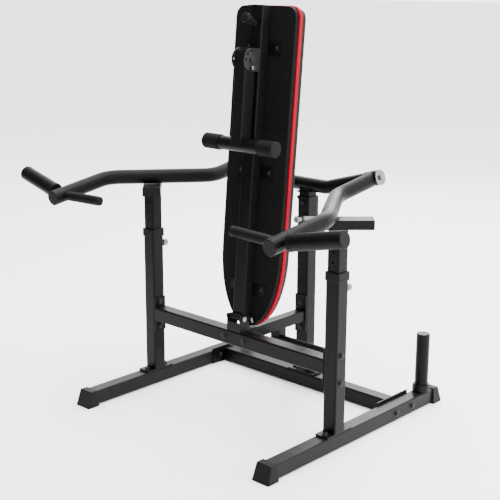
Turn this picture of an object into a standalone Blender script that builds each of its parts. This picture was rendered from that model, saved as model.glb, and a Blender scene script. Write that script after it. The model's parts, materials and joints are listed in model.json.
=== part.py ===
"""Plate-loaded lever-arm press bench with a fold-up back pad.

The frame stands on two floor rails along Y.  Two front posts and one rear post telescope in
square uprights.  The rear post carries a gull-wing cross tube, and a lever arm swings on each
of its raised ends.  The padded bench is hinged on the front beam, stands upright for storage
and folds forward, where a folding leg holds its far end.

The dimensions below count Y from the front uprights.  The last step moves everything so that the
origin is on the floor, in the middle of the overall box.  +X right, +Y to the rear, +Z up.
"""
from math import cos, pi, radians, sin, tan

import bmesh
import bpy
from mathutils import Matrix, Vector

# ---------------------------------------------------------------- driving dimensions, metres
MIDDLE_Y = 0.088844       # middle of the overall box, from the front uprights
GAP = 0.0003              # clearance between pieces that touch
SIDES = 24                # sides of a round tube

TUBE = 0.050              # outer frame tube, square
INNER = 0.045             # telescoping inner tube, square
BEAM = 0.040              # rear beam tube, square
WALL = 0.002
CORNER = 0.005            # outer corner radius of a square tube
PLATE = 0.004             # welded flange plates
BASE_PLATE = 0.006        # plates under the uprights

HALF_TRACK = 0.4165       # rails and front uprights, from the centre plane
RAIL_FRONT, RAIL_REAR = -0.318, 0.541
RAIL_BOTTOM = 0.003       # the feet lift the rails clear of the floor
RAIL_TOP = RAIL_BOTTOM + TUBE
FOOT_REACH = 0.025        # how far a foot's lower edge runs past its rail
FOOT_SLEEVE = 0.021       # how far a foot grips its rail

REAR_Y = 0.3525           # floor beam, rear upright and cross tube
SEAT_Z = RAIL_TOP + GAP   # where a base plate rests
TUBE_BASE = SEAT_Z + BASE_PLATE
FRONT_TOP, REAR_TOP = 0.560, 0.697     # tops of the outer uprights
FRONT_BEAM_Z, REAR_BEAM_Z = 0.270, 0.2725
FLANGE_DOWN, FLANGE_UP = 0.065, 0.060   # front beam's end flange, from its axis

COLLAR = 0.056
COLLAR_DROP, COLLAR_RISE = 0.008, 0.020
REAR_COLLAR_DROP, REAR_COLLAR_RISE = 0.004, 0.008

POST_BOTTOM, REAR_POST_BOTTOM = 0.300, 0.350
HOLE_RADIUS, HOLE_PITCH = 0.0040, 0.031
REST_BOTTOM, REST_TOP = 0.714, 0.744   # cross rest on a front post
REST_WIDTH, REST_HALF = 0.062, 0.101
REST_TURN = radians(44)   # heading of the right rest in plan, from +X
PIN_Z, REAR_PIN_Z, PIN_RADIUS = 0.519, 0.627, 0.0035

CROSS_Z, CROSS_RADIUS = 0.745, 0.024   # gull-wing cross tube
CROSS_FLAT = 0.086        # half of its level middle
CROSS_TILT = radians(16)
PIVOT_X = 0.280           # middle of an arm's pivot sleeve
SLEEVE_HALF, SLEEVE_RADIUS, SLEEVE_BORE = 0.026, 0.0255, 0.0170
AXLE_RADIUS = 0.0125

ARM_RADIUS = 0.025
ARM_FRONT = Vector((0.481, -0.379, 0.734))
ARM_BEND_1 = Vector((0.486, -0.143, 0.772))
ARM_BEND_2 = Vector((0.273, 0.168, 0.7665))
STUB_RADIUS = 0.0125
LOAD_DIRECTION = Vector((0.216, 0.015, 0.045)).normalized()
LOAD_START, LOAD_END, LOAD_RADIUS = 0.037, 0.221, 0.025
GRIP_DIRECTION = Vector((-0.190, 0.009, 0.0035)).normalized()
GRIP_START, GRIP_END = 0.0275, 0.190
GRIP_RADIUS, GRIP_BAR = 0.015, 0.0105

PEG_Y, PEG_TOP, PEG_RADIUS = 0.485, 0.262, 0.023

HINGE_Y, HINGE_Z = -0.006, 0.341       # hinge pin of the bench
LEAN = radians(5)
SPINE_FRONT, SPINE_WIDTH, SPINE_DEPTH = 0.003, 0.050, 0.040
SPINE_BOTTOM, SPINE_TOP = 0.012, 1.0190
STRAPS = (0.099, 0.491, 0.890)         # heights of the pad straps up the spine
STRAP_THICK = 0.0035
LEG_Y, LEG_Z = -0.0345, 0.850          # pivot of the folding leg
LEG_WIDTH, LEG_DEPTH, LEG_REACH = 0.045, 0.050, 0.2720
FOOT_BAR_RADIUS, FOOT_BAR_HALF = 0.0230, 0.150
FOOT_GRIP_RADIUS, FOOT_GRIP_LENGTH = 0.026, 0.070
LUG_RADIUS, LUG_INNER = 0.0365, 0.0237

PAD_HALF, PAD_TOP, PAD_BOTTOM = 0.128, 1.022, -0.034
PAD_CORNER, PAD_ROUND = 0.035, 0.250   # upper corner radius, height of the rounded foot
BOARD_THICK, TRIM_THICK, CUSHION_THICK = 0.0177, 0.0160, 0.0285
TRIM_PROUD = 0.003


# ---------------------------------------------------------------- materials and objects
def material(name, colour, roughness, metallic=0.0):
    """A Principled material in one colour."""
    mat = bpy.data.materials.new(name)
    mat.use_nodes = True
    shader = mat.node_tree.nodes["Principled BSDF"]
    shader.inputs["Base Color"].default_value = (*colour, 1.0)
    shader.inputs["Roughness"].default_value = roughness
    shader.inputs["Metallic"].default_value = metallic
    return mat


def clear_scene():
    for old in list(bpy.data.objects):
        bpy.data.objects.remove(old, do_unlink=True)


def finish(name, bm, mat, parent=None):
    """Turn a closed bmesh, modelled in its parent's frame, into a named object."""
    bmesh.ops.recalc_face_normals(bm, faces=bm.faces)
    mesh = bpy.data.meshes.new(name)
    bm.to_mesh(mesh)
    bm.free()
    mesh.materials.append(mat)
    mesh.shade_smooth()
    mesh.set_sharp_from_angle(angle=radians(35))
    obj = bpy.data.objects.new(name, mesh)
    bpy.context.scene.collection.objects.link(obj)
    if parent:
        obj.parent = parent
    return obj


def empty(name, location, lean=0.0):
    """An empty on a joint's axis, which its moving pieces hang on."""
    obj = bpy.data.objects.new(name, None)
    obj.location = location
    obj.rotation_euler.x = lean
    bpy.context.scene.collection.objects.link(obj)
    return obj


def hang(obj, parent):
    """Parent a piece that was modelled in world coordinates."""
    obj.parent = parent
    obj.location = -parent.location
    return obj


def boolean(bm, tool, operation):
    """Cut or join two bmeshes with an exact Boolean and return the result."""
    made = []
    for part in (bm, tool):
        bmesh.ops.recalc_face_normals(part, faces=part.faces)
        mesh = bpy.data.meshes.new("boolean")
        part.to_mesh(mesh)
        part.free()
        obj = bpy.data.objects.new("boolean", mesh)
        bpy.context.scene.collection.objects.link(obj)
        made.append(obj)
    step = made[0].modifiers.new("boolean", "BOOLEAN")
    step.operation = operation
    step.object = made[1]
    graph = bpy.context.evaluated_depsgraph_get()
    result = bpy.data.meshes.new_from_object(made[0].evaluated_get(graph))
    out = bmesh.new()
    out.from_mesh(result)
    for obj in made:
        bpy.data.objects.remove(obj, do_unlink=True)
    bpy.data.meshes.remove(result)
    bmesh.ops.remove_doubles(out, verts=out.verts, dist=0.000002)
    return out


def gathered(parts):
    """Several bmeshes that don't touch, as one tool."""
    out = bmesh.new()
    for part in parts:
        mesh = bpy.data.meshes.new("gathered")
        part.to_mesh(mesh)
        part.free()
        out.from_mesh(mesh)
        bpy.data.meshes.remove(mesh)
    return out


def union(bm, *tools):
    for tool in tools:
        bm = boolean(bm, tool, "UNION")
    return bm


def cut(bm, *tools):
    for tool in tools:
        bm = boolean(bm, tool, "DIFFERENCE")
    return bm


# ---------------------------------------------------------------- shapes
def box(low, high):
    """A plain block between two corners."""
    bm = bmesh.new()
    size = Vector(high) - Vector(low)
    middle = (Vector(high) + Vector(low)) / 2
    bmesh.ops.create_cube(bm, size=1.0, matrix=Matrix.Translation(middle) @ Matrix.Diagonal((*size, 1)))
    return bm


def along(direction, start):
    """The matrix that turns local +Z to a direction and moves the origin to start."""
    turn = Vector(direction).to_track_quat("Z", "Y").to_matrix().to_4x4()
    return Matrix.Translation(start) @ turn


def square_bar(width, depth, start, length, axis, corner=CORNER, wall=None):
    """A square tube or bar with rounded long edges, from start along one world axis.

    width is its first and depth its second size across, in X, Y, Z order."""
    bm = box((-width / 2, -depth / 2, 0), (width / 2, depth / 2, length))
    upright = [e for e in bm.edges if abs(e.verts[0].co.z - e.verts[1].co.z) > length / 2]
    bmesh.ops.bevel(bm, geom=upright, offset=corner, segments=3, affect="EDGES", profile=0.5, material=-1)
    if wall:
        bore = box((-width / 2 + wall, -depth / 2 + wall, -0.01),
                   (width / 2 - wall, depth / 2 - wall, length + 0.01))
        bm = cut(bm, bore)
    turn = {"X": Matrix(((0, 0, 1), (1, 0, 0), (0, 1, 0))),
            "Y": Matrix(((1, 0, 0), (0, 0, 1), (0, 1, 0))),
            "Z": Matrix.Identity(3)}[axis]
    bmesh.ops.transform(bm, matrix=Matrix.Translation(start) @ turn.to_4x4(), verts=bm.verts)
    if axis == "Y":
        bmesh.ops.reverse_faces(bm, faces=bm.faces)
    return bm


def rod(start, direction, length, radius, sides=SIDES):
    """A round bar from start along a direction."""
    bm = bmesh.new()
    bmesh.ops.create_cone(bm, cap_ends=True, segments=sides, radius1=radius, radius2=radius,
                          depth=length, matrix=along(direction, start) @ Matrix.Translation((0, 0, length / 2)))
    return bm


def turned(profile, start, direction, sides=SIDES):
    """A solid of revolution: (radius, height) points, both ends on the axis or a closed ring."""
    bm = bmesh.new()
    closed = profile[0][0] > 0
    points = [bm.verts.new((radius, 0, height)) for radius, height in profile]
    edges = [bm.edges.new(pair) for pair in zip(points, points[1:])]
    if closed:
        edges.append(bm.edges.new((points[-1], points[0])))
    bmesh.ops.spin(bm, geom=points + edges, cent=(0, 0, 0), axis=(0, 0, 1), angle=2 * pi,
                   steps=sides, use_merge=True)
    bmesh.ops.remove_doubles(bm, verts=bm.verts, dist=0.00001)
    bmesh.ops.transform(bm, matrix=along(direction, start), verts=bm.verts)
    return bm


def bent_path(points, radius, steps=5):
    """A polyline whose inner corners are turned into arcs of one radius."""
    path = [points[0]]
    for before, corner, after in zip(points, points[1:], points[2:]):
        back, ahead = (before - corner).normalized(), (after - corner).normalized()
        half = back.angle(ahead) / 2
        middle = corner + (back + ahead).normalized() * radius / sin(half)
        first = corner + back * radius / tan(half)
        last = corner + ahead * radius / tan(half)
        for step in range(steps + 1):
            spoke = (first - middle).slerp(last - middle, step / steps)
            path.append(middle + spoke.normalized() * radius)
    path.append(points[-1])
    return path


def bent_tube(points, bend_radius, radius, sides=20):
    """A round bar swept along a bent path, as a closed bmesh."""
    curve = bpy.data.curves.new("path", "CURVE")
    curve.dimensions = "3D"
    curve.bevel_depth = radius
    curve.bevel_resolution = sides // 2 - 2
    curve.use_fill_caps = True
    path = bent_path(points, bend_radius)
    spline = curve.splines.new("POLY")
    spline.points.add(len(path) - 1)
    for point, place in zip(spline.points, path):
        point.co = (*place, 1)
    obj = bpy.data.objects.new("path", curve)
    bpy.context.scene.collection.objects.link(obj)
    graph = bpy.context.evaluated_depsgraph_get()
    mesh = bpy.data.meshes.new_from_object(obj.evaluated_get(graph))
    bm = bmesh.new()
    bm.from_mesh(mesh)
    bpy.data.objects.remove(obj, do_unlink=True)
    bpy.data.meshes.remove(mesh)
    bmesh.ops.remove_doubles(bm, verts=bm.verts, dist=0.00001)
    return bm


def slab(outline, start, thickness):
    """An outline in the XZ plane, extruded along +Y."""
    bm = bmesh.new()
    face = bm.faces.new([bm.verts.new((x, start, z)) for x, z in outline])
    made = bmesh.ops.extrude_face_region(bm, geom=[face])
    moved = [item for item in made["geom"] if isinstance(item, bmesh.types.BMVert)]
    bmesh.ops.translate(bm, verts=moved, vec=(0, thickness, 0))
    return bm


def side_plate(outline, start, thickness):
    """An outline in the YZ plane, extruded along +X."""
    bm = bmesh.new()
    face = bm.faces.new([bm.verts.new((start, y, z)) for y, z in outline])
    made = bmesh.ops.extrude_face_region(bm, geom=[face])
    moved = [item for item in made["geom"] if isinstance(item, bmesh.types.BMVert)]
    bmesh.ops.translate(bm, verts=moved, vec=(thickness, 0, 0))
    return bm


def mirrored(vector, side):
    return Vector((vector[0] * side, vector[1], vector[2]))


# ---------------------------------------------------------------- floor frame
def make_rail(name, side):
    start = (side * HALF_TRACK, RAIL_FRONT, RAIL_BOTTOM + TUBE / 2)
    bm = square_bar(TUBE, TUBE, start, RAIL_REAR - RAIL_FRONT, "Y", wall=WALL)
    finish(name, bm, STEEL)


def make_foot(name, side, end):
    """A sloping plastic end cap with a socket for the rail's end; end is -1 front, 1 rear."""
    tip = RAIL_REAR if end > 0 else RAIL_FRONT
    low, high = 0.034, 0.029              # half widths at the floor and at the top
    top = RAIL_TOP + 0.0035
    outline = ((tip + end * FOOT_REACH, 0), (tip + end * 0.008, top),
               (tip - end * FOOT_SLEEVE, top), (tip - end * (FOOT_SLEEVE + 0.003), 0))
    bm = side_plate(outline, side * HALF_TRACK - low, 2 * low)
    for vert in bm.verts:
        if vert.co.z > top / 2:
            vert.co.x += (low - high) * (1 if vert.co.x < side * HALF_TRACK else -1)
    bmesh.ops.bevel(bm, geom=list(bm.edges), offset=0.0025, segments=2, affect="EDGES",
                    profile=0.5, material=-1)
    play = TUBE / 2 + GAP
    ends = sorted((tip + end * GAP, tip - end * 0.1))
    middle = RAIL_BOTTOM + TUBE / 2
    socket = box((side * HALF_TRACK - play, ends[0], middle - play),
                 (side * HALF_TRACK + play, ends[1], middle + play))
    finish(name, cut(bm, socket), PLASTIC)


def flanged_beam(middle, half_length, down, up, sideways):
    """A square tube along X with a welded flange plate on each end; its bore runs through both."""
    y, z = middle
    reach = half_length - 0.002
    bm = square_bar(TUBE, TUBE, (-reach, y, z), 2 * reach, "X")
    for side in (-1, 1):
        edge = sorted((side * half_length, side * (half_length - PLATE)))
        bm = union(bm, box((edge[0], y - sideways, z - down), (edge[1], y + sideways, z + up)))
    inner = TUBE / 2 - WALL
    bore = box((-half_length - 0.01, y - inner, z - inner), (half_length + 0.01, y + inner, z + inner))
    return cut(bm, bore)


def make_floor_beam():
    half = HALF_TRACK - TUBE / 2 - GAP
    middle = (REAR_Y, RAIL_BOTTOM + TUBE / 2)
    bm = flanged_beam(middle, half, TUBE / 2 - 0.0005, TUBE / 2 + 0.010, 0.085)
    finish("floor_beam", bm, STEEL)


def make_front_beam():
    half = HALF_TRACK - TUBE / 2 - GAP
    bm = flanged_beam((0, FRONT_BEAM_Z), half, FLANGE_DOWN, FLANGE_UP, TUBE / 2 - 0.0005)
    finish("front_beam", bm, STEEL)


def make_rear_beam():
    """Square tube from the front beam back to the rear upright, with a drop post and a band peg."""
    front, back = TUBE / 2 + GAP, REAR_Y - TUBE / 2 - GAP
    bm = square_bar(BEAM, BEAM, (0, front + 0.002, REAR_BEAM_Z), back - front - 0.004, "Y", corner=0.004)
    side_flange = box((-0.062, front, REAR_BEAM_Z - 0.025), (0.062, front + PLATE, REAR_BEAM_Z + 0.020))
    end_flange = box((-0.025, back - PLATE, REAR_BEAM_Z - 0.062), (0.025, back, REAR_BEAM_Z + 0.076))
    drop_post = square_bar(BEAM - 0.001, BEAM, (0, 0.205, 0.200), 0.060, "Z", corner=0.003)
    peg = rod((0, 0.195, 0.2225), (1, 0, 0), 0.220, 0.0125, sides=16)
    inner = BEAM / 2 - WALL
    bore = box((-inner, front - 0.01, REAR_BEAM_Z - inner), (inner, back + 0.01, REAR_BEAM_Z + inner))
    bm = cut(union(bm, side_flange, end_flange), bore)
    finish("rear_beam", union(bm, drop_post, peg), STEEL)


def make_upright(name, x, y, top, pin_z, pin_side, plate_x, plate_y, strip=None):
    """Outer tube on a base plate, with a pull-pin hole on one Y side and an optional welded strip."""
    bm = square_bar(TUBE, TUBE, (x, y, TUBE_BASE - 0.002), top - TUBE_BASE + 0.002, "Z")
    plate = box((x - plate_x, y - plate_y, SEAT_Z), (x + plate_x, y + plate_y, TUBE_BASE))
    inner = TUBE / 2 - WALL
    bore = box((x - inner, y - inner, TUBE_BASE), (x + inner, y + inner, top + 0.01))
    pin_hole = rod((x, y, pin_z), (0, pin_side, 0), 0.04, PIN_RADIUS + 0.0008, sides=16)
    bm = union(bm, plate, strip) if strip else union(bm, plate)
    finish(name, cut(bm, bore, pin_hole), STEEL)


def make_collar(name, x, y, top, drop=COLLAR_DROP, rise=COLLAR_RISE):
    """Stepped plastic sleeve: its lower part grips the outer tube, its upper part guides the post."""
    bm = square_bar(COLLAR, COLLAR, (x, y, top - drop), drop + rise, "Z")
    rims = [e for e in bm.edges if abs(e.verts[0].co.z - e.verts[1].co.z) < 0.001]
    bmesh.ops.bevel(bm, geom=rims, offset=0.0018, segments=2, affect="EDGES", profile=0.5, material=-1)
    wide, narrow = TUBE / 2 + GAP, INNER / 2 + GAP
    lower = box((x - wide, y - wide, top - 0.05), (x + wide, y + wide, top + GAP))
    upper = box((x - narrow, y - narrow, top - 0.01), (x + narrow, y + narrow, top + 0.05))
    finish(name, cut(bm, lower, upper), PLASTIC)


def make_pin_housing(name, x, y, z, side):
    """Threaded hexagonal housing of a pull pin on an upright's face."""
    start = (x, y + side * (TUBE / 2 + GAP), z)
    bore = PIN_RADIUS + 0.0006
    profile = ((bore, 0), (0.0125, 0), (0.0125, 0.005), (0.009, 0.006), (0.009, 0.016), (bore, 0.016))
    finish(name, turned(profile, start, (0, side, 0), sides=12), DARK_STEEL)


def make_pull_knob(name, x, y, z, side, parent):
    """Pin with a round knob; its tip stays inside the upright's wall."""
    tip = TUBE / 2 - 0.0015
    knob = TUBE / 2 + GAP + 0.0165
    head = knob - tip
    profile = ((0, 0), (PIN_RADIUS, 0), (PIN_RADIUS, head), (0.0105, head), (0.0125, head + 0.002),
               (0.0125, head + 0.017), (0.0105, head + 0.020), (0, head + 0.020))
    bm = turned(profile, (x, y + side * tip, z), (0, side, 0), sides=16)
    hang(finish(name, bm, CHROME), parent)


def make_plate_peg(name, side):
    """Vertical storage post for weight plates on a rail, open below."""
    foot, rise = SEAT_Z, PEG_TOP - SEAT_Z
    profile = ((PEG_RADIUS - WALL, 0), (0.0305, 0), (0.0305, 0.022), (0.028, 0.025), (PEG_RADIUS, 0.025),
               (PEG_RADIUS, rise - 0.002), (PEG_RADIUS - 0.002, rise), (0, rise))
    inner = turned(((0, 0.002), (PEG_RADIUS - WALL, 0.002), (PEG_RADIUS - WALL, rise - 0.006),
                    (0, rise - 0.006)), (side * HALF_TRACK, PEG_Y, foot - 0.004), (0, 0, 1))
    solid = turned(((0, 0),) + profile[1:], (side * HALF_TRACK, PEG_Y, foot), (0, 0, 1))
    finish(name, cut(solid, inner), STEEL)


def make_bench_bracket():
    """U bracket on the front beam that holds the bench's hinge pin and lock pin."""
    base = FRONT_BEAM_Z + TUBE / 2 + GAP
    inner, thick = 0.0268, 0.0035
    cheek = ((-0.0225, base), (0.0250, base), (0.0250, 0.320), (0.0370, 0.326), (0.0370, 0.340),
             (0.0300, 0.3475), (-0.0190, 0.3530), (-0.0225, 0.3495))
    bm = side_plate(cheek, -inner - thick, 2 * (inner + thick))
    bm = cut(bm, box((-inner, -0.0185, base + PLATE), (inner, 0.1, 0.4)),
             box((-inner, -0.1, 0.327), (inner, -0.0180, 0.4)))
    pin_holes = [rod((-0.05, y, z), (1, 0, 0), 0.1, 0.0054, sides=16)
                 for y, z in ((HINGE_Y, HINGE_Z), (0.030, 0.332))]
    bm = cut(bm, gathered(pin_holes))
    finish("bench_bracket", bm, STEEL)


def make_hinge_pin():
    """Headed pin through the bracket's cheeks and the spine's barrel."""
    profile = ((0, 0), (0.0085, 0), (0.0085, 0.005), (0.005, 0.005), (0.005, 0.0725),
               (0.0080, 0.0725), (0.0080, 0.0775), (0, 0.0775))
    bm = turned(profile, (0.0358, HINGE_Y, HINGE_Z), (-1, 0, 0), sides=16)
    finish("bench_hinge_pin", bm, CHROME)


def make_bench_lock_pin():
    """Pull-out pin behind the spine's foot that locks the bench upright."""
    axis = empty("bench_lock_axis", (0, 0.030, 0.332))
    profile = ((0, 0), (0.005, 0.003), (0.005, 0.0665), (0.0095, 0.0665), (0.0095, 0.0745),
               (0.0075, 0.0765), (0, 0.0765))
    bm = turned(profile, (-0.0355, 0.030, 0.332), (1, 0, 0), sides=16)
    hang(finish("bench_lock_pin", bm, CHROME), axis)


# ---------------------------------------------------------------- telescoping posts
def hole_row(x, y, lowest, count):
    """Cutter for a column of adjustment holes through a post, front to back."""
    return gathered([rod((x, y - 0.05, lowest + number * HOLE_PITCH), (0, 1, 0), 0.1, HOLE_RADIUS, sides=10)
                     for number in range(count)])


def make_front_post(name, side, axis):
    """Inner tube with adjustment holes and a flat tube across its top for an arm to rest on."""
    x = side * HALF_TRACK
    bm = square_bar(INNER, INNER, (x, 0, POST_BOTTOM), REST_BOTTOM - POST_BOTTOM + 0.003, "Z", corner=0.004)
    heading = Vector((side * cos(REST_TURN), sin(REST_TURN), 0))
    across = Vector((-heading.y, heading.x, 0))
    middle = Vector((x, 0, (REST_BOTTOM + REST_TOP) / 2))
    frame = Matrix((heading, across, (0, 0, 1))).transposed().to_4x4()
    place = Matrix.Translation(middle) @ frame
    high = (REST_TOP - REST_BOTTOM) / 2

    def rest_bar(half, width, height, corner):
        bar = square_bar(width, height, (-half, 0, 0), 2 * half, "X", corner=corner)
        bmesh.ops.transform(bar, matrix=place, verts=bar.verts)
        return bar

    bm = union(bm, rest_bar(REST_HALF, REST_WIDTH, 2 * high, 0.003))
    inner = INNER / 2 - WALL
    bore = box((x - inner, -inner, POST_BOTTOM - 0.01), (x + inner, inner, REST_BOTTOM))
    bm = cut(bm, bore, rest_bar(REST_HALF + 0.01, REST_WIDTH - 2 * WALL, 2 * high - 2 * WALL, 0.001))
    bm = cut(bm, hole_row(x, 0, PIN_Z - 5 * HOLE_PITCH, 11))
    hang(finish(name, bm, STEEL), axis)


def make_rest_cap(name, side, end, axis):
    """Plastic plug in one end of a cross rest; end is -1 inner and front, 1 outer and rear."""
    heading = Vector((side * cos(REST_TURN), sin(REST_TURN), 0))
    across = Vector((-heading.y, heading.x, 0))
    middle = Vector((side * HALF_TRACK, 0, (REST_BOTTOM + REST_TOP) / 2))
    place = Matrix.Translation(middle) @ Matrix((heading, across, (0, 0, 1))).transposed().to_4x4()
    high = REST_TOP - REST_BOTTOM
    start = REST_HALF + GAP
    flange = square_bar(REST_WIDTH, high, (start, 0, 0), 0.004, "X", corner=0.003)
    plug = square_bar(REST_WIDTH - 2 * WALL - 0.001, high - 2 * WALL - 0.001, (start - 0.012, 0, 0),
                      0.013, "X", corner=0.0015)
    bm = union(flange, plug)
    if end < 0:
        bmesh.ops.rotate(bm, verts=bm.verts, cent=(0, 0, 0), matrix=Matrix.Rotation(pi, 3, "Z"))
    bmesh.ops.transform(bm, matrix=place, verts=bm.verts)
    hang(finish(name, bm, PLASTIC), axis)


def cross_axis(side):
    """Unit vector along a raised end of the cross tube, outwards."""
    return Vector((side * cos(CROSS_TILT), 0, sin(CROSS_TILT)))


def cross_point(side, distance):
    """A point on a raised end's axis, measured from its bend."""
    return Vector((side * CROSS_FLAT, REAR_Y, CROSS_Z)) + cross_axis(side) * distance


PIVOT_REACH = (PIVOT_X - CROSS_FLAT) / cos(CROSS_TILT)
SLEEVE_NEAR = PIVOT_REACH - SLEEVE_HALF
SLEEVE_FAR = PIVOT_REACH + SLEEVE_HALF


def make_rear_post(axis):
    """Inner tube, saddle plate and gull-wing cross tube with an axle on each raised end."""
    bottom, tube_end = REAR_POST_BOTTOM, SLEEVE_NEAR - 0.0013
    corners = [cross_point(-1, tube_end), cross_point(-1, 0), cross_point(1, 0), cross_point(1, tube_end)]
    bm = square_bar(INNER, INNER, (0, REAR_Y, bottom), CROSS_Z - bottom - 0.010, "Z", corner=0.004)
    saddle = box((-0.028, REAR_Y - 0.028, 0.718), (0.028, REAR_Y + 0.028, 0.722))
    bm = union(bm, bent_tube(corners, 0.09, CROSS_RADIUS), saddle)
    inner_end = tube_end - 0.012
    inner = [cross_point(-1, inner_end), cross_point(-1, 0), cross_point(1, 0), cross_point(1, inner_end)]
    half = INNER / 2 - WALL
    bore = box((-half, REAR_Y - half, bottom - 0.01), (half, REAR_Y + half, CROSS_Z - 0.012))
    bm = cut(bm, bore, bent_tube(inner, 0.09, CROSS_RADIUS - 0.0025))
    for side in (-1, 1):
        axle = rod(cross_point(side, tube_end - 0.005), cross_axis(side),
                   SLEEVE_FAR - tube_end + 0.0055, AXLE_RADIUS)
        bolt_bore = rod(cross_point(side, SLEEVE_FAR - 0.030), cross_axis(side), 0.06, 0.0057, sides=16)
        bm = cut(union(bm, axle), bolt_bore)
    bm = cut(bm, hole_row(0, REAR_Y, REAR_PIN_Z - 8 * HOLE_PITCH, 9))
    hang(finish("rear_post", bm, STEEL), axis)


def make_pivot_hardware(side, word, axis):
    """Washer and bolt that keep an arm on its axle."""
    out = cross_axis(side)
    washer = ((0.0062, 0), (0.026, 0), (0.026, 0.004), (0.0062, 0.004))
    bm = turned(washer, cross_point(side, SLEEVE_FAR + 0.0008), out, sides=SIDES)
    hang(finish(f"pivot_washer_{word}", bm, CHROME), axis)
    bolt = ((0, 0), (0.0050, 0), (0.0050, 0.030), (0.0095, 0.030), (0.0095, 0.037), (0.0070, 0.0385), (0, 0.0385))
    bm = turned(bolt, cross_point(side, SLEEVE_FAR + 0.0051 - 0.030), out, sides=12)
    hang(finish(f"pivot_bolt_{word}", bm, CHROME), axis)


# ---------------------------------------------------------------- lever arms
def arm_mount(side):
    """Where the load stub and the hand grip leave an arm, near its front end."""
    front, bend = mirrored(ARM_FRONT, side), mirrored(ARM_BEND_1, side)
    return front + (bend - front).normalized() * 0.036


def make_arm(side, word, axis):
    """Bent tube welded to its pivot sleeve, with a load stub outwards and a grip bar inwards."""
    pivot = cross_point(side, PIVOT_REACH)
    corners = [mirrored(p, side) for p in (ARM_FRONT, ARM_BEND_1, ARM_BEND_2)]
    bm = bent_tube([*corners, pivot], 0.11, ARM_RADIUS)
    sleeve = rod(cross_point(side, SLEEVE_NEAR), cross_axis(side), 2 * SLEEVE_HALF, SLEEVE_RADIUS)
    bm = union(bm, sleeve)
    last = corners[2] + (pivot - corners[2]) * 0.80
    bm = cut(bm, bent_tube([corners[0] + (corners[0] - corners[1]) * 0.05, corners[1], corners[2], last],
                           0.11, ARM_RADIUS - 0.0025, sides=16))
    bm = cut(bm, rod(cross_point(side, SLEEVE_NEAR - 0.01), cross_axis(side), 0.08, SLEEVE_BORE))
    base = arm_mount(side)
    load = mirrored(LOAD_DIRECTION, side)
    stub = rod(base + load * (ARM_RADIUS - 0.004), load, LOAD_END - 0.020 - ARM_RADIUS, STUB_RADIUS, sides=16)
    grip = mirrored(GRIP_DIRECTION, side)
    bar = rod(base + grip * (ARM_RADIUS - 0.004), grip, GRIP_END - 0.010 - ARM_RADIUS, GRIP_BAR, sides=16)
    hang(finish(f"arm_{word}", union(bm, stub, bar), ARM_STEEL), axis)


def make_arm_fittings(side, word, axis):
    """Pivot bush, front cap, plate sleeve and rubber hand grip of one arm."""
    out = cross_axis(side)
    bush = ((0.0128, 0), (0.0166, 0), (0.0166, 2 * SLEEVE_HALF), (0.0128, 2 * SLEEVE_HALF))
    bm = turned(bush, cross_point(side, SLEEVE_NEAR), out)
    hang(finish(f"pivot_bush_{word}", bm, PLASTIC), axis)

    front, bend = mirrored(ARM_FRONT, side), mirrored(ARM_BEND_1, side)
    ahead = (front - bend).normalized()
    cap = ((0, -0.012), (ARM_RADIUS - 0.003, -0.012), (ARM_RADIUS - 0.003, GAP), (ARM_RADIUS, GAP),
           (ARM_RADIUS, 0.003), (ARM_RADIUS - 0.002, 0.005), (0, 0.005))
    hang(finish(f"arm_cap_{word}", turned(cap, front, ahead), PLASTIC), axis)

    base = arm_mount(side)
    load = mirrored(LOAD_DIRECTION, side)
    length = LOAD_END - LOAD_START
    outer = ((0, 0), (LOAD_RADIUS - 0.002, 0), (LOAD_RADIUS + 0.001, 0.002), (LOAD_RADIUS + 0.001, 0.011),
             (LOAD_RADIUS, 0.012), (LOAD_RADIUS, length - 0.002), (LOAD_RADIUS - 0.002, length), (0, length))
    bore = ((0, 0), (STUB_RADIUS + GAP, 0), (STUB_RADIUS + GAP, length - 0.008), (0, length - 0.008))
    bm = cut(turned(outer, base + load * LOAD_START, load),
             turned(bore, base + load * (LOAD_START - 0.006), load, sides=16))
    hang(finish(f"plate_sleeve_{word}", bm, ARM_STEEL), axis)

    inward = mirrored(GRIP_DIRECTION, side)
    length = GRIP_END - GRIP_START
    outer = ((0, 0), (GRIP_RADIUS - 0.003, 0), (GRIP_RADIUS, 0.006), (GRIP_RADIUS, length - 0.004),
             (GRIP_RADIUS - 0.004, length), (0, length))
    bore = ((0, 0), (GRIP_BAR + GAP, 0), (GRIP_BAR + GAP, length - 0.003), (0, length - 0.003))
    bm = cut(turned(outer, base + inward * GRIP_START, inward, sides=20),
             turned(bore, base + inward * (GRIP_START - 0.006), inward, sides=16))
    hang(finish(f"hand_grip_{word}", bm, RUBBER), axis)


# ---------------------------------------------------------------- bench, in its leaning frame
def pad_outline(grow):
    """Pad outline in X and Z: rounded upper corners and a long half-ellipse below."""
    half, top, bottom = PAD_HALF + grow, PAD_TOP + grow, PAD_BOTTOM - grow
    corner = PAD_CORNER + grow
    points = []
    for step in range(6):
        turn = step / 5 * pi / 2
        points.append((half - corner + corner * cos(turn), top - corner + corner * sin(turn)))
    points += [(-x, z) for x, z in reversed(points)]
    steps = 20
    for step in range(steps + 1):
        turn = pi + step / steps * pi
        points.append((half * cos(turn), bottom + PAD_ROUND + PAD_ROUND * sin(turn)))
    return points


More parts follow.
